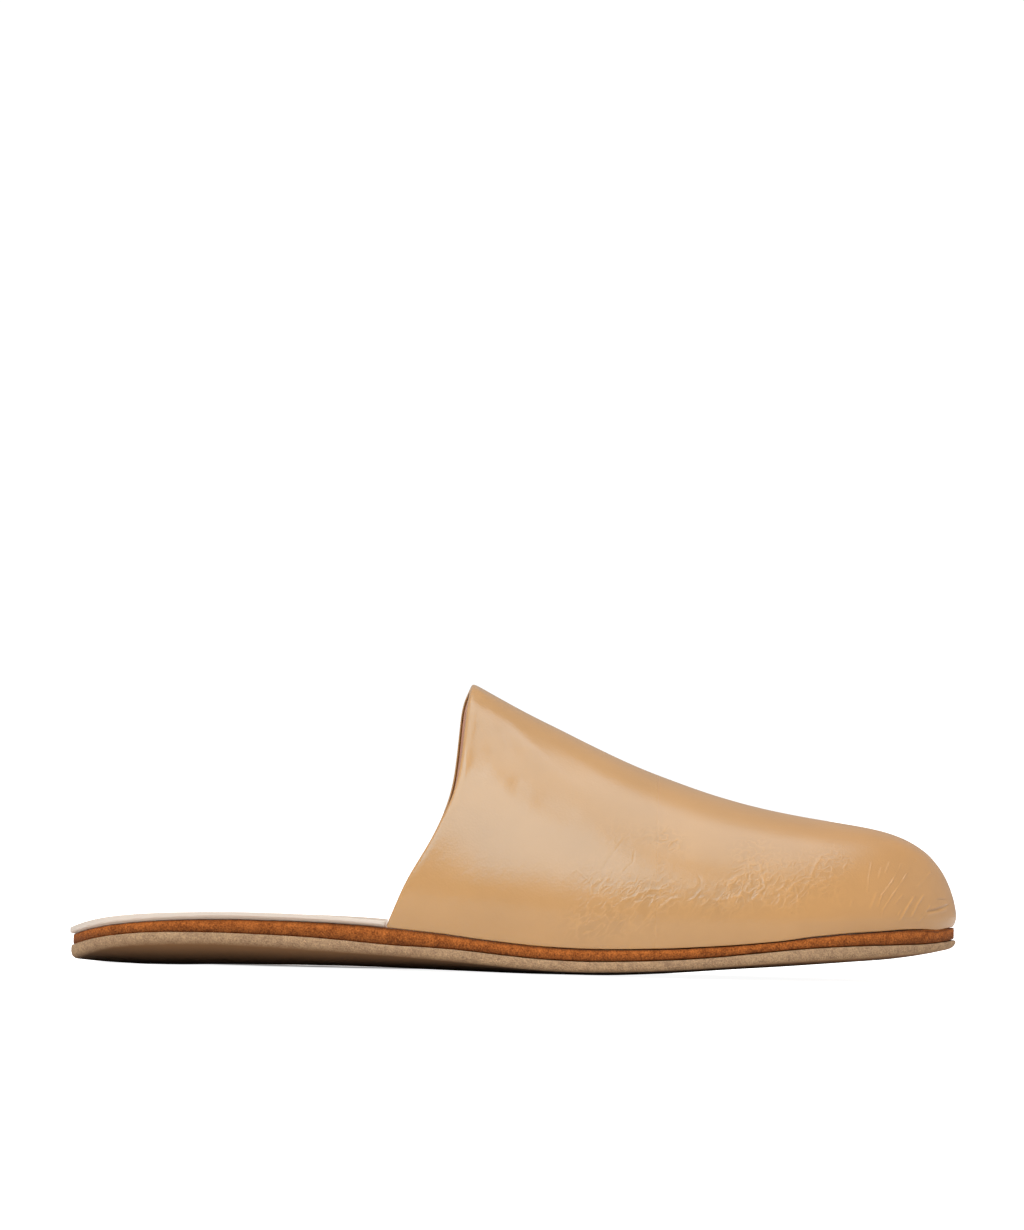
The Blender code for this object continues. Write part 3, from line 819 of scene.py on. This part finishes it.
# How far the layers' faces lie above their places on the frame, as (x, rise): this closes
# the gaps between the layers to fine lines and gives each its own thickness along the sole.
INSOLE_TOP = ((0.0, 0.30), (14.0, 0.27), (26.0, 0.18), (38.0, 0.03), (58.0, 0.08),
              (70.0, 0.18), (82.0, 0.0))
INSOLE_FOOT = ((0.0, -0.15), (8.0, -0.27), (16.0, -0.25), (24.0, -0.18), (32.0, -0.10),
               (60.0, -0.12), (85.0, 0.02), (95.0, 0.05))
MIDSOLE_TOP = ((0.0, 0.05), (8.0, -0.07), (16.0, -0.05), (24.0, 0.02), (32.0, 0.10),
               (60.0, 0.08), (85.0, 0.22), (95.0, 0.20), (112.0, 0.13))
MIDSOLE_FOOT = ((0.0, -0.33), (12.0, -0.17), (24.0, 0.15), (50.0, 0.18), (60.0, 0.05),
                (72.0, 0.13), (82.0, 0.0), (92.0, -0.13), (98.0, -0.22), (105.0, 0.12),
                (115.0, 0.38), (126.0, 0.22), (140.0, 0.05), (165.0, -0.08), (190.0, -0.17),
                (206.0, 0.05), (219.0, 0.15), (241.0, 0.13), (249.0, -0.03), (256.0, -0.28))
OUTSOLE_TOP = tuple((x, rise + 0.20) for x, rise in MIDSOLE_FOOT)
OUTSOLE_FOOT = ((45.0, 0.0), (58.0, -0.42), (74.0, -0.58), (86.0, -0.32), (98.0, 0.0),
                (198.0, 0.05), (206.0, -0.18), (220.0, -0.42), (234.0, -0.48),
                (242.0, -0.28), (256.0, -0.10), (263.0, 0.20))

# The insole's step behind the collar lies between these x, further out than this y.
STEP_BACK, STEP_FRONT, STEP_INNER_END = 93.9, 95.1, 26.5
INSOLE_REACH = -0.6 * MM         # brings the step up to the collar's foot
INSOLE_LEAN = 0.22               # and leans it forwards by this share of its height

EDGE_SKIN = 0.25                 # what lies this near the cut edge is part of it, in mm
FRAY_WAVES = ((1.0, 0.9), (0.6, 3.5))     # heights as shares of the depth, widths in mm
# Fibres: their radius and lengths as shares of the mean length, how far the lying and the
# standing ones lift from the edge, and the middle and the spread of their tones.
FIBRE_RADIUS = 0.07
FIBRE_LENGTHS = (0.5, 1.6)
LYING_LIFT, STANDING_LIFT = (0.05, 0.5), (0.6, 1.6)
FIBRE_TONE = (0.25, 0.4)


def border_points(mesh, above):
    """A search tree of points along the upper or the lower corner of a cut edge."""
    points = []
    for edge in mesh.edges:
        if turns_over(edge, above):
            a, b = (v.co for v in edge.verts)
            points += [a.lerp(b, k / 8) for k in range(8)]
    tree = KDTree(len(points))
    for i, p in enumerate(points):
        tree.insert(p, i)
    tree.balance()
    return tree


def turns_over(edge, above):
    """True where a cut edge turns into the top (or the underside) of its layer."""
    up = sorted(f.normal.z for f in edge.link_faces)
    return (up[1] > 0.5 > up[0]) if above else (up[0] < -0.5 < up[1])


def mark_cut_edge(piece, node, fade):
    """Stores how far up the cut edge each vertex lies, and how near to it, with a fade in
    mm. The plain tint of 1 is for all but the fibres that come later."""
    plain = bmesh.new()
    plain.from_mesh(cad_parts[node].data)
    bmesh.ops.remove_doubles(plain, verts=plain.verts, dist=1e-6)
    plain.normal_update()
    lower, upper = border_points(plain, False), border_points(plain, True)
    cut_faces = [f for f in plain.faces if abs(f.normal.z) < 0.5]
    edge_wall = BVHTree.FromPolygons([v.co for v in plain.verts],
                                     [[v.index for v in f.verts] for f in cut_faces])
    rise, cut = [], []
    for vertex in piece.data.vertices:
        down, up = lower.find(vertex.co)[2], upper.find(vertex.co)[2]
        rise.append(down / (down + up))
        gap = edge_wall.find_nearest(vertex.co)[3]
        cut.append(1.0 - min(1.0, max(0.0, (gap / MM - EDGE_SKIN) / fade)))
    plain.free()
    attribute(piece, "rise", rise)
    attribute(piece, "cut", cut)
    attribute(piece, "tint", np.ones(len(rise)))


def at_insole_step(edge):
    """True where the insole steps inwards, at a sharp corner, to pass inside the upper."""
    return all(STEP_BACK < (v.co.x - HEEL_X) / MM < STEP_FRONT
               and abs(v.co.y) / MM > STEP_INNER_END for v in edge.verts)


def corner_edges(above):
    """Test for the edges along the upper or the lower corner of a layer's cut edge."""
    def wanted(edge):
        sharp = edge.calc_face_angle() >= CORNER
        return sharp and not at_insole_step(edge) and turns_over(edge, above)
    return wanted


def shift_faces(layer, way, table):
    """Raises the faces that look that way (1 up, -1 down) by a table of (x, rise)."""
    select(layer, "FACE", lambda f: f.normal.z * way > 0.5)
    x, rise = np.array(table).T
    mesh = bmesh.from_edit_mesh(layer.data)
    for vertex in (v for v in mesh.verts if v.select):
        vertex.co.z += np.interp((vertex.co.x - HEEL_X) / MM, x, rise) * MM
    bmesh.update_edit_mesh(layer.data)


def reach_to_collar(insole):
    """Moves the insole's step up to the collar's foot, and leans it as the collar leans."""
    mesh = bmesh.from_edit_mesh(insole.data)
    step = [v for v in mesh.verts if v.select]
    foot = min(v.co.z for v in step)
    for vertex in step:
        vertex.co.x += INSOLE_REACH + INSOLE_LEAN * (vertex.co.z - foot)
    bmesh.update_edit_mesh(insole.data)


def build_layer(node, name, upper_turn, lower_turn, top, foot):
    """A sole layer with its top and its underside shifted by tables of (x, rise) and the
    corners of its cut edge rounded."""
    layer = copy_node(node, name)
    with edit_mode(layer):
        shift_faces(layer, 1, top)
        shift_faces(layer, -1, foot)
        if node == "insole":
            select(layer, "EDGE", at_insole_step)
            bpy.ops.transform.edge_crease(value=1.0)
        for above, turn in ((True, upper_turn), (False, lower_turn)):
            select(layer, "EDGE", corner_edges(above))
            bpy.ops.mesh.bevel(offset=turn, segments=2 if turn > 0.3 * MM else 1,
                               affect="EDGES", clamp_overlap=True)
        if node == "insole":
            select(layer, "EDGE", at_insole_step)
            reach_to_collar(layer)
    subdivide_smoothly(layer, 2)
    return layer


def split_cut_edge(layer):
    """Splits the cut edge finely along its run, so that fray can make it uneven."""
    with edit_mode(layer):
        select(layer, "EDGE", lambda e: e.calc_length() > 1.0 * MM and all(
            abs(f.normal.z) < 0.6 for f in e.link_faces))
        bpy.ops.mesh.subdivide(number_cuts=3)


def fray(layer, depth):
    """Moves the cut edge in and out, finely."""
    places, cut = vertex_places(layer), stored(layer, "cut")
    rough = np.array([unevenness(p, FRAY_WAVES) if c > 0.3 else 0.0
                      for p, c in zip(places, cut)])
    move_vertices(layer, places + vertex_normals(layer) * (rough * cut * depth)[:, None])


def unit(rows):
    """Each row brought to length 1."""
    return rows / np.linalg.norm(rows, axis=1)[:, None]


def add_fibres(layer, count, length, standing, seed):
    """Loose fibres on the cut edge, all copied from one closed three-sided spike. standing
    is the share of them that stand up; the others lie along the edge."""
    bpy.ops.mesh.primitive_cone_add(vertices=3, radius1=FIBRE_RADIUS, radius2=0.0, depth=1.0,
                                    location=(0.0, 0.0, 0.5))
    spike = bpy.context.object
    shape = vertex_places(spike)
    corners = [list(p.vertices) for p in spike.data.polygons]
    bpy.data.objects.remove(spike)
    draw = np.random.default_rng(seed)
    cut = stored(layer, "cut")
    faces = [p for p in layer.data.polygons if all(cut[v] > 0.8 for v in p.vertices)]
    areas = np.array([p.area for p in faces])
    chosen = draw.choice(len(faces), count, p=areas / areas.sum())
    roots = np.array([faces[i].center for i in chosen])
    away = np.array([faces[i].normal for i in chosen])
    lie = unit(np.cross(away, draw.normal(size=(count, 3))))
    lift = draw.uniform(*LYING_LIFT, count)
    stand = draw.random(count) < standing
    lift[stand] = draw.uniform(*STANDING_LIFT, stand.sum())
    along = unit(lie + away * lift[:, None])
    side = unit(np.cross(along, draw.normal(size=(count, 3))))
    third = np.cross(along, side)
    size = length * draw.uniform(*FIBRE_LENGTHS, count)
    frames = np.stack([side * length, third * length, along * size[:, None]], axis=1)
    points = np.einsum("vk,nkc->nvc", shape, frames) + roots[:, None]
    n = len(shape)
    tuft = bpy.data.meshes.new(layer.name + "_fibres")
    tuft.from_pydata(points.reshape(-1, 3).tolist(), [],
                     [[i * n + v for v in c] for i in range(count) for c in corners])
    fibres = bpy.data.objects.new(tuft.name, tuft)
    bpy.context.scene.collection.objects.link(fibres)
    attribute(fibres, "rise", np.full(count * n, 0.5))
    attribute(fibres, "cut", np.ones(count * n))
    attribute(fibres, "tint", np.repeat(np.exp(draw.normal(*FIBRE_TONE, count)), n))
    bpy.ops.object.select_all(action="DESELECT")
    fibres.select_set(True)
    layer.select_set(True)
    bpy.context.view_layer.objects.active = layer
    bpy.ops.object.join()


def wave_top(midsole):
    """Lets the top of the midsole follow the wave of the seam."""
    places = vertex_places(midsole)
    places[:, 2] += seam_wave(places) * stored(midsole, "rise") * stored(midsole, "cut")
    move_vertices(midsole, places)


class SLIPPER_OT_insole(bpy.types.Operator):
    """Insole: a thin smooth sock of pale leather that covers the sole layers"""
    bl_idname = "slipper.insole"
    bl_label = "Insole"

    def execute(self, context):
        settings = context.scene.slipper_sole
        insole = build_layer("insole", "insole_leather", settings.insole_turn,
                             settings.corner, INSOLE_TOP, INSOLE_FOOT)
        mark_cut_edge(insole, "insole", 0.5)
        dress(insole, [insole_leather(settings)], "insole", "insole")
        return {"FINISHED"}


class SLIPPER_OT_midsole(bpy.types.Operator):
    """Midsole: orange-brown leather with a raw, fuzzy cut edge"""
    bl_idname = "slipper.midsole"
    bl_label = "Midsole"

    def execute(self, context):
        settings = context.scene.slipper_sole
        midsole = build_layer("midsole", "midsole_leather", settings.corner,
                              settings.corner, MIDSOLE_TOP, MIDSOLE_FOOT)
        split_cut_edge(midsole)
        mark_cut_edge(midsole, "midsole", 0.5)
        wave_top(midsole)
        fray(midsole, 0.07 * MM)
        add_fibres(midsole, 5000, settings.fibre_length, 0.15, 11)
        leather = cut_edge_leather(
            "midsole_leather_raw_edge", settings.midsole, linear("#8a4716"), settings.midsole,
            settings.midsole, top=(0.83, 0.93, 0.35), foot=(0.72, 0.08, 0.45))
        dress(midsole, [leather], "midsole", "midsole")
        return {"FINISHED"}


class SLIPPER_OT_outsole(bpy.types.Operator):
    """Outsole: rough-out leather, pale and fibrous at its cut edge, plain underneath"""
    bl_idname = "slipper.outsole"
    bl_label = "Outsole"

    def execute(self, context):
        settings = context.scene.slipper_sole
        outsole = build_layer("outsole", "outsole_leather", settings.outsole_shoulder,
                              settings.outsole_turn, OUTSOLE_TOP, OUTSOLE_FOOT)
        split_cut_edge(outsole)
        mark_cut_edge(outsole, "outsole", 2.5)
        fray(outsole, 0.06 * MM)
        add_fibres(outsole, 6000, settings.fibre_length, 0.25, 12)
        # The near-black #3a2817 is the painted shade on the underside where it nears the floor.
        leather = cut_edge_leather(
            "outsole_leather_rough_out", settings.outsole_edge, linear("#9a7b60"),
            settings.underside, linear("#3a2817"), top=(0.97, 1.10, 0.9),
            foot=(0.35, 0.05, 0.88))
        dress(outsole, [leather], "outsole", "outsole")
        return {"FINISHED"}


# ---------------------------------------------------------------- the stage

WALL_LIGHT = 0.405
SIDE_LIGHT = 0.68
BACKDROP_LIGHT = 0.41
CEILING_LIGHT = 1.18
AIM_HEIGHT, LIGHT_DISTANCE = 0.04, 1.5     # of the point that the lights face, and from it
FLOOR_WIDTH = 38.0
BACKDROP_RADIUS = 28.0
BOUNCE_LEVEL = -0.2 * MM                   # of the floor's second sheet
UNDER_THE_WAIST = (-0.052, 0.058, 0.0)     # where the floor's glow leaves a soft shadow
VIEW_HEIGHT = 0.3672                       # what the view's long side covers
VIEW_MIDDLE = (-0.0028, 0.10665)           # x and z at the middle of the view


def softbox(name, place, size, power, tilt):
    """A rectangular studio light that faces the slipper, tilted about its own axis."""
    light = bpy.data.lights.new(name, "AREA")
    light.shape = "RECTANGLE"
    light.size, light.size_y = size
    light.energy = power
    lamp = bpy.data.objects.new(name, light)
    bpy.context.scene.collection.objects.link(lamp)
    lamp.location = place
    facing = (Vector((0.0, 0.0, AIM_HEIGHT)) - Vector(place)).to_track_quat("-Z", "Y")
    lamp.rotation_euler = (facing @ Quaternion((0.0, 0.0, 1.0), math.radians(tilt))).to_euler()


def around(azimuth, elevation):
    """A light's place: azimuth from the camera's side, positive to the toe."""
    a, e = math.radians(azimuth), math.radians(elevation)
    level = LIGHT_DISTANCE * math.cos(e)
    return (level * math.sin(a), -level * math.cos(a), LIGHT_DISTANCE * math.sin(e) + AIM_HEIGHT)


def studio_air():
    """Surrounding light: dim walls, brighter at the sides, and a bright wide ceiling."""
    world = bpy.data.worlds.new("studio_air")
    world.use_nodes = True
    tree = world.node_tree
    add = partial(add_node, tree)
    direction = add("TexCoord").outputs["Generated"]
    split = add("SeparateXYZ", {0: direction}).outputs
    across = add("Math", {0: split["X"]}, operation="ABSOLUTE").outputs[0]
    strength = WALL_LIGHT
    for facing, start, end, light in ((split["Y"], 0.10, 0.50, BACKDROP_LIGHT),
                                      (across, 0.45, 0.95, SIDE_LIGHT),
                                      (split["Z"], 0.80, 0.92, CEILING_LIGHT)):
        more = add("MapRange", {"Value": facing, "From Min": start, "From Max": end,
                                "To Min": 0.0, "To Max": light - WALL_LIGHT},
                   interpolation_type="SMOOTHSTEP").outputs["Result"]
        strength = add("Math", {0: strength, 1: more}, operation="ADD").outputs[0]
    set_inputs(tree.nodes["Background"], {"Color": WHITE, "Strength": strength})
    return world


def seen_by_camera_only(sheet, seen=True):
    """Hides a sheet from all light that bounces; with seen off, from the camera alone."""
    sheet.visible_camera = seen
    for kind in ("diffuse", "glossy", "transmission", "shadow"):
        setattr(sheet, "visible_" + kind, not seen)


def floor_sheet(name, colour, glow, height, seen):
    """A sheet of the floor. The one that is seen is lit from within, as a light table is;
    the other takes its place for all light that bounces, so that it doesn't light the sole."""
    bpy.ops.object.select_all(action="DESELECT")
    bpy.ops.mesh.primitive_plane_add(size=FLOOR_WIDTH, location=(0.0, 0.0, height))
    floor = bpy.context.object
    floor.name = name
    material, add, shader = new_material(name + "_acrylic_matt")
    place = add("TexCoord").outputs["Object"]
    place = add("VectorMath", {0: place, 1: (0.8, 1.0, 1.0)},
                operation="MULTIPLY").outputs["Vector"]
    gap = add("VectorMath", {0: place, 1: UNDER_THE_WAIST}, operation="DISTANCE").outputs["Value"]
    strength = add("MapRange", {"Value": gap, "From Min": 0.044, "From Max": 0.058,
                                "To Min": 0.18 * glow, "To Max": glow},
                   interpolation_type="SMOOTHSTEP").outputs["Result"]
    set_inputs(shader, {"Base Color": rgba(colour), "Roughness": 0.9, "Specular IOR Level": 0.0,
                        "Emission Color": WHITE, "Emission Strength": strength})
    floor.data.materials.append(material)
    seen_by_camera_only(floor, seen)


def backdrop_dome():
    """A white backdrop all round that only the camera sees: the leather doesn't mirror it."""
    bpy.ops.object.select_all(action="DESELECT")
    bpy.ops.mesh.primitive_uv_sphere_add(segments=32, ring_count=16, radius=BACKDROP_RADIUS)
    dome = bpy.context.object
    dome.name = "studio_backdrop"
    material, add, shader = new_material("studio_backdrop_paper_lit")
    set_inputs(shader, {"Base Color": BLACK, "Specular IOR Level": 0.0, "Emission Color": WHITE,
                        "Emission Strength": 1.05})
    dome.data.materials.append(material)
    seen_by_camera_only(dome)


def aim_camera(distance, height, roll):
    """A long lens square to the slipper's side, shifted up and rolled about its axis."""
    camera = bpy.data.cameras.new("camera")
    view = bpy.data.objects.new("camera", camera)
    bpy.context.scene.collection.objects.link(view)
    camera.lens = camera.sensor_width * distance / VIEW_HEIGHT
    camera.clip_end = 50.0
    view.location = (VIEW_MIDDLE[0], -distance, height)
    view.rotation_euler = (math.pi / 2, -roll, 0.0)
    above = VIEW_MIDDLE[1] - height
    camera.shift_x = above * math.sin(roll) / VIEW_HEIGHT
    camera.shift_y = above * math.cos(roll) / VIEW_HEIGHT
    bpy.context.scene.camera = view


class SLIPPER_OT_stage(bpy.types.Operator):
    """Stage: a lit floor, a white backdrop all round, soft studio lights and the camera"""
    bl_idname = "slipper.stage"
    bl_label = "Stage"

    def execute(self, context):
        settings = context.scene.slipper_stage
        floor_sheet("studio_floor", settings.floor, settings.floor_glow, 0.0, True)
        floor_sheet("studio_floor_bounce", settings.floor, 0.0, BOUNCE_LEVEL, False)
        backdrop_dome()
        context.scene.world = studio_air()
        context.scene.view_settings.view_transform = "Standard"
        softbox("key_softbox", around(-17, 41.2), (1.34, 1.0), settings.key, tilt=38.0)
        softbox("top_softbox", around(87, 75.5), (0.64, 1.46), settings.top, tilt=-87.0)
        aim_camera(settings.distance, settings.height, settings.roll)
        return {"FINISHED"}


# ---------------------------------------------------------------- panel and run

class VIEW3D_PT_slipper(bpy.types.Panel):
    """Lists the steps that build the slipper and their settings"""
    bl_label = "Slipper"
    bl_idname = "VIEW3D_PT_slipper"
    bl_space_type = "VIEW_3D"
    bl_region_type = "UI"
    bl_category = "Slipper"

    def draw(self, context):
        for settings, steps in SECTIONS:
            box = self.layout.box()
            group = getattr(context.scene, settings)
            for name in group.__annotations__:
                box.prop(group, name)
            for step in steps:
                box.operator(step.bl_idname)


GROUPS = {"slipper_upper": UpperSettings, "slipper_sole": SoleSettings,
          "slipper_stage": StageSettings}
SECTIONS = (("slipper_upper", (SLIPPER_OT_upper,)),
            ("slipper_sole", (SLIPPER_OT_insole, SLIPPER_OT_midsole, SLIPPER_OT_outsole)),
            ("slipper_stage", (SLIPPER_OT_stage,)))
OPERATORS = tuple(step for _, steps in SECTIONS for step in steps)


def register():
    for kind in (*GROUPS.values(), *OPERATORS, VIEW3D_PT_slipper):
        bpy.utils.register_class(kind)
    for name, kind in GROUPS.items():
        setattr(bpy.types.Scene, name, PointerProperty(type=kind))


def unregister():
    for name in GROUPS:
        delattr(bpy.types.Scene, name)
    for kind in (VIEW3D_PT_slipper, *reversed(OPERATORS), *GROUPS.values()):
        bpy.utils.unregister_class(kind)


def main():
    register()
    for step in OPERATORS:
        area, name = step.bl_idname.split(".")
        getattr(getattr(bpy.ops, area), name)()


if __name__ == "__main__":
    main()
